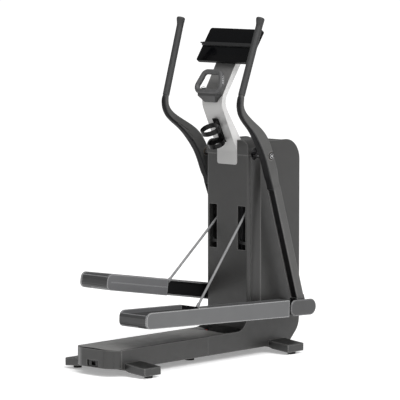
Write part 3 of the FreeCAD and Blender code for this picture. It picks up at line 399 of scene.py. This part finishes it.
def make_materials():
    """One finish for every slot of the part by the slot's name, and three finishes besides."""
    made = {
        # painted highlight: a lighter band along the body covers' edges
        "body_cover": moulded("body_cover", (0.027, 0.0265, 0.0258), 0.4).lacquer(0.1, 0.25).painted_edge_shading(
            (0.085, 0.084, 0.082), 0.008),
        # painted shade: a darker band along the deck's edges
        "deck": moulded("deck", (0.15, 0.148, 0.144), 0.34).lacquer(0.2, 0.25).painted_edge_shading(
            (0.12, 0.118, 0.115), 0.004),
        # painted highlight: a lighter band along the feet's edges
        "foot_paint": powder_coat("foot_paint", (0.014, 0.014, 0.0137)).lacquer(0.3, 0.2).painted_edge_shading(
            (0.15, 0.148, 0.146), 0.009),
        "foot_rubber": rubber("foot_rubber", (0.012, 0.012, 0.012)),
        "frame_steel": powder_coat("frame_steel", (0.03, 0.03, 0.032)),
        "inlet_plastic": moulded("inlet_plastic", (0.008, 0.008, 0.008), 0.35),
        "bright_steel": metal("bright_steel", (0.32, 0.32, 0.325), 0.3, (1, 40, 40)),
        "cast_aluminium": cast("cast_aluminium", (0.5, 0.5, 0.52)),
        "guide_plastic": moulded("guide_plastic", (0.02, 0.02, 0.02), 0.5),
        "flywheel_iron": cast("flywheel_iron", (0.22, 0.22, 0.23)),
        "pulley_steel": metal("pulley_steel", (0.4, 0.4, 0.42), 0.3, (40, 1, 1)),
        "belt_rubber": rubber("belt_rubber", (0.015, 0.015, 0.015)),
        "mast_silver": mast_paint(),
        "mast_cover": powder_coat("mast_cover", (0.13, 0.129, 0.127)).lacquer(0.15, 0.25),
        "console_case": moulded("console_case", (0.003, 0.003, 0.003), 0.4).shine(0.1),
        "console_glass": gloss_black("console_glass", (0.002, 0.002, 0.0022), 0.1),
        "ledge_plastic": moulded("ledge_plastic", (0.012, 0.012, 0.0125), 0.35).shine(0.35),
        "loop_rubber": rubber("loop_rubber", (0.06, 0.06, 0.061), 0.55),
        "loop_plastic": moulded("loop_plastic", (0.022, 0.022, 0.0225), 0.38),
        "switch_plastic": moulded("switch_plastic", (0.02, 0.02, 0.021), 0.35),
        "polished_metal": metal("polished_metal", (0.82, 0.82, 0.83), 0.12, (30, 30, 1), 0.00001),
        "holder_plastic": gloss_black("holder_plastic", (0.007, 0.007, 0.007), 0.2),
        "arm_paint": arm_paint(),
        "bronze_bush": cast("bronze_bush", (0.16, 0.13, 0.1), 0.5),
        "grip_rubber": rubber("grip_rubber", (0.024, 0.024, 0.0245), 0.55),
        "lever_steel": powder_coat("lever_steel", (0.008, 0.008, 0.0085), 0.5).shine(0.15),
        # painted highlight: a lighter band along the lever covers' edges
        "lever_cover": moulded("lever_cover", (0.082, 0.083, 0.085), 0.36).lacquer(0.3, 0.2).painted_edge_shading(
            (0.31, 0.31, 0.313), 0.009),
        "pedal_plastic": tray_plastic(),
        "pedal_rubber": rubber("pedal_rubber", (0.03, 0.03, 0.031)),
        "cable_braid": braid("cable_braid", (0.22, 0.22, 0.222)),
        # painted highlight: a lighter band along the hinge covers' edges
        "hinge_cover": moulded("hinge_cover", (0.032, 0.032, 0.033), 0.38).lacquer(0.25, 0.2).painted_edge_shading(
            (0.31, 0.31, 0.313), 0.009),
        "red_mark": moulded("red_mark", (0.6, 0.02, 0.015), 0.3),
        "display": gloss_black("display", (0.0015, 0.0016, 0.002), 0.05),
    }
    return {slot: recipe.material for slot, recipe in made.items()}


# ---- finishing of the carried-over parts -------------------------------------------------------
WIDE_EDGE = 0.005       # rounding of the covers that a hand or foot meets
EDGE = 0.0022           # rounding of the plastic covers' corners
SHARP_EDGE = 0.0006     # rounding of small and fitted parts
WIDE_EDGED = ("front_foot", "rear_foot", "lever_skin", "hinge_cap", "base_side", "nose_cap",
              "tower_side")
ROUND_EDGED = ("tower_front_panel", "tower_rear_cover", "tower_top_cap", "mast", "pedal_tray",
               "console_housing", "arm_right", "arm_left", "loop_bracket")


def smooth_group():
    """Geometry nodes that switch every face to smooth shading."""
    group = bpy.data.node_groups.new("smooth_faces", "GeometryNodeTree")
    group.interface.new_socket("Geometry", in_out="INPUT", socket_type="NodeSocketGeometry")
    group.interface.new_socket("Geometry", in_out="OUTPUT", socket_type="NodeSocketGeometry")
    start = group.nodes.new("NodeGroupInput")
    smooth = group.nodes.new("GeometryNodeSetShadeSmooth")
    end = group.nodes.new("NodeGroupOutput")
    group.links.new(start.outputs[0], smooth.inputs["Geometry"])
    group.links.new(smooth.outputs["Geometry"], end.inputs[0])
    return group


def soften(piece, width, group):
    """Rounds a part's corners and evens its shading, leaving its mesh data alone."""
    weld = piece.modifiers.new("weld", "WELD")
    weld.merge_threshold = 0.00002
    planar = piece.modifiers.new("planar", "DECIMATE")
    planar.decimate_type = "DISSOLVE"
    planar.angle_limit = math.radians(0.4)
    smooth = piece.modifiers.new("smooth", "NODES")
    smooth.node_group = group
    bevel = piece.modifiers.new("edges", "BEVEL")
    bevel.width = width
    bevel.segments = 3
    bevel.limit_method = "ANGLE"
    bevel.angle_limit = math.radians(35)
    bevel.use_clamp_overlap = True
    even = piece.modifiers.new("even", "WEIGHTED_NORMAL")
    even.keep_sharp = False
    even.weight = 80


def finish_parts(materials):
    """Materials and rounded corners on every carried-over part."""
    slots = {row["node"]: row["material_slot"] for row in frame["record"]["subparts"]}
    group = smooth_group()
    for name, node in nodes.items():
        node.data.materials.clear()
        finish = "hinge_cover" if name.startswith("hinge_cap") else slots[name]
        node.data.materials.append(materials[finish])
        width = SHARP_EDGE
        if name.startswith(WIDE_EDGED):
            width = WIDE_EDGE
        elif name.startswith(ROUND_EDGED):
            width = EDGE
        soften(node, width, group)


# ---- building helpers --------------------------------------------------------------------------
RAY_START = 2.0         # rays towards a surface start this far back, clear of the machine
SINK = 0.0005           # how far a plate's hidden side reaches into what it lies on
RING_STEPS = 48
RING_SIDES = 12


class Maker:
    """Adds finished pieces: mesh, material, body and slot in one call."""

    def __init__(self, materials):
        self.materials = materials
        self.record_slots = {row["slot"] for row in frame["record"]["materials"]}
        self.trees = {}

    def tree(self, node):
        """Ray-casting tree of a carried-over part."""
        if node not in self.trees:
            build = bmesh.new()
            build.from_mesh(nodes[node].data)
            self.trees[node] = BVHTree.FromBMesh(build)
            build.free()
        return self.trees[node]

    def add(self, name, build, slot, body, bevel=0.0):
        """Turns a bmesh into a smooth piece riding on a body."""
        bmesh.ops.recalc_face_normals(build, faces=build.faces)
        for face in build.faces:
            face.smooth = True
        mesh = bpy.data.meshes.new(name)
        build.to_mesh(mesh)
        build.free()
        mesh.materials.append(self.materials[slot])
        piece = bpy.data.objects.new(name, mesh)
        bpy.context.scene.collection.objects.link(piece)
        if bevel:
            edges = piece.modifiers.new("edges", "BEVEL")
            edges.width = bevel
            edges.segments = 2
            edges.limit_method = "ANGLE"
            even = piece.modifiers.new("even", "WEIGHTED_NORMAL")
            even.keep_sharp = False
        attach(piece, body)
        return piece

    def on_surface(self, node, point, direction, lift=0.0):
        """Where a ray meets the part, moved back off the surface by lift."""
        hit = self.tree(node).ray_cast(point - direction * RAY_START, direction)[0]
        return None if hit is None else hit - direction * lift

    def seam(self, name, node, points, direction, radius, slot, body):
        """A thin cord laid over a part's surface where two mouldings meet."""
        path = [self.on_surface(node, point, direction) for point in points]
        path = [point for point in path if point is not None]
        return self.add(name, tube(path, radius), slot, body)


def tube(path, radius, sides=8):
    """A round bar through the points, closed at both ends."""
    build = bmesh.new()
    rings = []
    for index, point in enumerate(path):
        ahead = path[min(index + 1, len(path) - 1)]
        behind = path[max(index - 1, 0)]
        run = (ahead - behind).normalized()
        side = run.orthogonal() if abs(run.x) > 0.9 else run.cross(ACROSS)
        side.normalize()
        other = run.cross(side)
        turns = [2 * math.pi * step / sides for step in range(sides)]
        rings.append([build.verts.new(point + (side * math.cos(turn) + other * math.sin(turn))
                                      * radius) for turn in turns])
    for first, second in zip(rings, rings[1:]):
        for step in range(sides):
            after = (step + 1) % sides
            build.faces.new((first[step], first[after], second[after], second[step]))
    build.faces.new(rings[0])
    build.faces.new(rings[-1])
    return build


def torus(centre, axis, radius, thickness, squash=1.0):
    """A ring round an axis; squash flattens it along the axis."""
    build = bmesh.new()
    side = axis.orthogonal().normalized()
    other = axis.cross(side)
    swings = [2 * math.pi * part / RING_SIDES for part in range(RING_SIDES)]
    rings = []
    for step in range(RING_STEPS):
        turn = 2 * math.pi * step / RING_STEPS
        out = side * math.cos(turn) + other * math.sin(turn)
        middle = centre + out * radius
        rings.append([build.verts.new(middle + out * math.cos(swing) * thickness
                                      + axis * math.sin(swing) * thickness * squash)
                      for swing in swings])
    for first, second in zip(rings, rings[1:] + rings[:1]):
        for step in range(RING_SIDES):
            after = (step + 1) % RING_SIDES
            build.faces.new((first[step], first[after], second[after], second[step]))
    return build


def prism(outline, thickness):
    """A plate: the outline's points, and the same points moved by the thickness vector."""
    build = bmesh.new()
    low = [build.verts.new(point) for point in outline]
    high = [build.verts.new(point + thickness) for point in outline]
    build.faces.new(low)
    build.faces.new(list(reversed(high)))
    for index in range(len(low)):
        after = (index + 1) % len(low)
        build.faces.new((low[index], low[after], high[after], high[index]))
    return build


def rounded(centre, across, up, half_width, half_height, radius):
    """Points of a rounded rectangle on two directions."""
    points = []
    for side, lift, start in ((1, 1, 0), (-1, 1, 90), (-1, -1, 180), (1, -1, 270)):
        corner = centre + across * side * (half_width - radius) + up * lift * (half_height - radius)
        for step in range(7):
            turn = math.radians(start + 15 * step)
            points.append(corner + (across * math.cos(turn) + up * math.sin(turn)) * radius)
    return points


def dense(outline, spacing):
    """The closed outline with points added so that no step is longer than the spacing."""
    points = []
    for start, end in zip(outline, outline[1:] + outline[:1]):
        steps = max(1, math.ceil((end - start).length / spacing))
        points += [start.lerp(end, step / steps) for step in range(steps)]
    return points


# ---- added details -----------------------------------------------------------------------------
RIB_COUNT = 13
RIB_MARGIN = 0.012                  # from the mat's edge to the first rib and the ribs' ends
RIB_HALF_WIDTH = 0.0026
RIB_CORNER = 0.0025
RIB_HEIGHT = 0.0022                 # with the hidden part
RIB_PARTS = ((-1.0, -0.34), (-0.31, 0.31), (0.34, 1.0))
ROLL_LINES = (0.30, 0.66)           # heights on the platform's front, as shares of it
PANEL_REACH = 0.181                 # from the tower's front to the panel's front edge
PANEL_RINGS = (1.0, 0.96, 0.88, 0.8, 0.7, 0.6, 0.5, 0.4, 0.3, 0.2, 0.1)
PANEL_LIFT = 0.0009                 # clear of the deck's crown
DECK_SEAM = (0.30, 0.67)            # start and length of the seams' part before the tower
SIDE_SEAM = 0.315                   # from the tower's front to the joint in the side cover
NOSE_SEAMS = (-0.130, -0.077, 0.077, 0.130)
STRIP_STEPS = 110
STRIP_SEARCH = 0.002                # spacing of the rays that find the arm's width
STRIP_MARGIN = 0.004


def top_plane(node):
    """Centre, length direction and upward normal of a part's flat top, with its half sizes."""
    mesh = nodes[node].data
    flat = [face for face in mesh.polygons if face.normal.z > 0.9]
    up = sum((face.normal * face.area for face in flat), Vector()).normalized()
    top = max(flat, key=lambda face: face.center.dot(up))
    level = top.center.dot(up)
    points = [mesh.vertices[index].co for face in flat if face.center.dot(up) > level - 0.001
              for index in face.vertices]
    length = ACROSS.cross(up).normalized() * -1
    xs = [point.x for point in points]
    runs = [point.dot(length) for point in points]
    centre = (ACROSS * (min(xs) + max(xs)) / 2 + length * (min(runs) + max(runs)) / 2
              + up * level)
    return centre, length, up, (max(xs) - min(xs)) / 2, (max(runs) - min(runs)) / 2


def add_pedal_treads(maker, side):
    """Raised ribs along the rubber mat, each in three parts."""
    centre, length, up, half_width, half_length = top_plane(f"pedal_mat_{side}")
    ribs = bmesh.new()
    for index in range(RIB_COUNT):
        offset = (index / (RIB_COUNT - 1) * 2 - 1) * (half_width - RIB_MARGIN)
        reach = half_length - RIB_MARGIN - 0.010 * (abs(offset) / half_width) ** 4
        start = centre + ACROSS * offset
        for low, high in RIB_PARTS:
            middle = start + length * reach * (low + high) / 2
            outline = rounded(middle, ACROSS, length, RIB_HALF_WIDTH, reach * (high - low) / 2,
                              RIB_CORNER)
            part = prism([point - up * SINK for point in outline], up * RIB_HEIGHT)
            mesh = bpy.data.meshes.new("rib")
            part.to_mesh(mesh)
            part.free()
            ribs.from_mesh(mesh)
            bpy.data.meshes.remove(mesh)
    maker.add(f"pedal_ribs_{side}", ribs, "pedal_rubber", f"{side}_lever", 0.0006)


def add_roll_lines(maker, side):
    """Two moulded lines round the front of the foot platform."""
    low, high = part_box(f"pedal_tray_{side}")
    front = [vertex.co for vertex in nodes[f"pedal_tray_{side}"].data.vertices
             if vertex.co.y < low.y + 0.04]
    bottom, top = min(point.z for point in front), max(point.z for point in front)
    for index, share in enumerate(ROLL_LINES):
        height = bottom + (top - bottom) * share
        points = [Vector((low.x + 0.004 + (high.x - low.x - 0.008) * step / 16, 0, height))
                  for step in range(17)]
        maker.seam(f"roll_line_{side}_{index}", f"pedal_tray_{side}", points, BACK, 0.0012,
                   "pedal_rubber", f"{side}_lever")


def add_deck_panel(maker):
    """Dark glossy panel of the deck in front of the tower, with its small red mark."""
    low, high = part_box("base_deck")
    front = tower_front - PANEL_REACH
    rear = high.y - 0.002
    centre = Vector((0, (front + rear) / 2, 1))
    half = (rear - front) / 2
    outline = dense(rounded(centre, ACROSS, BACK, (high.x - low.x) / 2 - 0.008, half, 0.045),
                    0.006)
    build = bmesh.new()
    rings = []
    for scale in PANEL_RINGS:
        points = [centre + (point - centre) * scale for point in outline]
        rings.append([build.verts.new(maker.on_surface("base_deck", point, DOWN, PANEL_LIFT))
                      for point in points])
    hub = build.verts.new(maker.on_surface("base_deck", centre, DOWN, PANEL_LIFT))
    for first, second in zip(rings, rings[1:]):
        for index in range(len(first)):
            after = (index + 1) % len(first)
            build.faces.new((first[index], first[after], second[after], second[index]))
    for index in range(len(outline)):
        build.faces.new((rings[-1][index], rings[-1][(index + 1) % len(outline)], hub))
    panel = maker.add("deck_panel", build, "console_glass", "frame")
    shell = panel.modifiers.new("thickness", "SOLIDIFY")
    shell.thickness = 0.0012
    shell.offset = -1
    place = maker.on_surface("base_deck", Vector((0.011, front + 0.006, 1)), DOWN, 0.0007)
    mark = prism(rounded(place, ACROSS, BACK, 0.008, 0.0022, 0.002),
                 Vector((0, 0, 0.0009)))
    maker.add("deck_mark", mark, "red_mark", "frame", 0.0003)


def add_body_seams(maker):
    """Dark joints between the covers."""
    low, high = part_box("base_deck")
    start, run = DECK_SEAM
    for name, x in (("deck_seam_right", high.x - 0.0035), ("deck_seam_left", low.x + 0.0035)):
        points = [Vector((x, tower_front - start - run * step / 12, 1)) for step in range(13)]
        points = [Vector((x, tower_front, 1)), *points]
        maker.seam(name, "base_deck", points, DOWN, 0.0011, "guide_plastic", "frame")
    for side, sign in (("right", 1), ("left", -1)):
        box_low, box_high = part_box(f"base_side_{side}")
        inward = Vector((-sign, 0, 0))
        rise = box_high.z - box_low.z - 0.008
        points = [Vector((0, tower_front - SIDE_SEAM, box_low.z + 0.004 + rise * step / 6))
                  for step in range(7)]
        maker.seam(f"side_seam_{side}", f"base_side_{side}", points, inward, 0.0009,
                   "guide_plastic", "frame")
    nose_low, nose_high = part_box("nose_cap")
    for index, x in enumerate(NOSE_SEAMS):
        points = [Vector((x, 0, nose_low.z + 0.006 + (nose_high.z - nose_low.z - 0.02) * step / 6))
                  for step in range(7)]
        maker.seam(f"nose_seam_{index}", "nose_cap", points, BACK, 0.0008, "guide_plastic", "frame")


def add_console_details(maker):
    """Dark window of the display, set into the console's glass."""
    mesh = nodes["console_screen"].data
    face = max(mesh.polygons, key=lambda polygon: polygon.area * (polygon.normal.y < -0.3))
    out = face.normal.normalized()
    level = face.center.dot(out)
    points = [vertex.co for vertex in mesh.vertices if abs(vertex.co.dot(out) - level) < 0.0004]
    up = out.cross(ACROSS).normalized()
    up = up if up.z > 0 else -up
    xs = [point.x for point in points]
    rises = [point.dot(up) for point in points]
    centre = ACROSS * (min(xs) + max(xs)) / 2 + up * (min(rises) + max(rises)) / 2 + out * level
    half_width, half_height = (max(xs) - min(xs)) / 2, (max(rises) - min(rises)) / 2
    window = rounded(centre + up * half_height * 0.12 - out * 0.0002, ACROSS, up,
                     half_width * 0.86, half_height * 0.72, 0.008)
    maker.add("display_window", prism(window, out * 0.0008), "display", "frame", 0.0003)


def add_arm_strip(maker, side):
    """Black strip set in the arm's front from the hinge up to the grip."""
    low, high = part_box(f"arm_{side}")
    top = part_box(f"grip_{side}")[0].z - 0.002
    bottom = low.z + 0.055
    build = bmesh.new()
    rows = []
    reach = int((high.x - low.x) / STRIP_SEARCH)
    for step in range(STRIP_STEPS + 1):
        height = bottom + (top - bottom) * step / STRIP_STEPS
        met = [x for x in (low.x + STRIP_SEARCH * index for index in range(reach + 1))
               if maker.on_surface(f"arm_{side}", Vector((x, 0, height)), BACK) is not None]
        start, end = min(met) + STRIP_MARGIN, max(met) - STRIP_MARGIN
        row = [maker.on_surface(f"arm_{side}",
                                Vector((start + (end - start) * share / 6, 0, height)),
                                BACK, 0.0007) for share in range(7)]
        rows.append([build.verts.new(point) for point in row])
    for first, second in zip(rows, rows[1:]):
        for index in range(6):
            build.faces.new((first[index], first[index + 1], second[index + 1], second[index]))
    strip = maker.add(f"arm_strip_{side}", build, "lever_steel", f"{side}_arm")
    shell = strip.modifiers.new("thickness", "SOLIDIFY")
    shell.thickness = 0.0012
    shell.offset = 0


def add_pivot_rings(maker, side, sign):
    """Dark ring round the polished cap on the arm's pivot."""
    low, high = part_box(f"pivot_cap_{side}")
    middle = (low + high) / 2
    outer = high.x if sign > 0 else low.x
    centre = Vector((outer - sign * 0.0028, middle.y, middle.z))
    maker.add(f"pivot_ring_{side}", torus(centre, ACROSS, 0.0155, 0.0028, 0.9),
              "guide_plastic", f"{side}_arm")
    face = Vector((outer, middle.y, middle.z))
    turns = [math.radians(12 * step) for step in range(30)]
    for name, radius, rise, slot in (("dish", 0.0115, 0.0006, "guide_plastic"),
                                     ("stud", 0.0045, 0.0022, "polished_metal")):
        outline = [face + Vector((0, math.cos(turn), math.sin(turn))) * radius for turn in turns]
        disc = prism([point - ACROSS * sign * SINK for point in outline],
                     ACROSS * sign * (rise + SINK))
        maker.add(f"pivot_{name}_{side}", disc, slot, f"{side}_arm", 0.0005)


def add_switch_surround(maker):
    """Raised oval frame round the rocker on the loop."""
    low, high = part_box("loop_switch")
    middle = (low + high) / 2
    facing = Vector((0, -0.82, 0.57)).normalized()
    up = facing.cross(ACROSS).normalized()
    turns = [2 * math.pi * step / 40 for step in range(41)]
    path = [middle + facing * 0.006 + ACROSS * math.cos(turn) * 0.0165
            + up * math.sin(turn) * 0.0105 for turn in turns]
    maker.add("switch_surround", tube(path, 0.0013), "switch_plastic", "frame")


def add_details(materials):
    """Every piece that the CAD model leaves to the looks."""
    maker = Maker(materials)
    for side, sign in (("right", 1), ("left", -1)):
        add_pedal_treads(maker, side)
        add_roll_lines(maker, side)
        add_arm_strip(maker, side)
        add_pivot_rings(maker, side, sign)
    add_deck_panel(maker)
    add_body_seams(maker)
    add_console_details(maker)
    add_switch_surround(maker)


def main():
    add_camera()
    add_stage()
    materials = make_materials()
    finish_parts(materials)
    add_details(materials)


main()
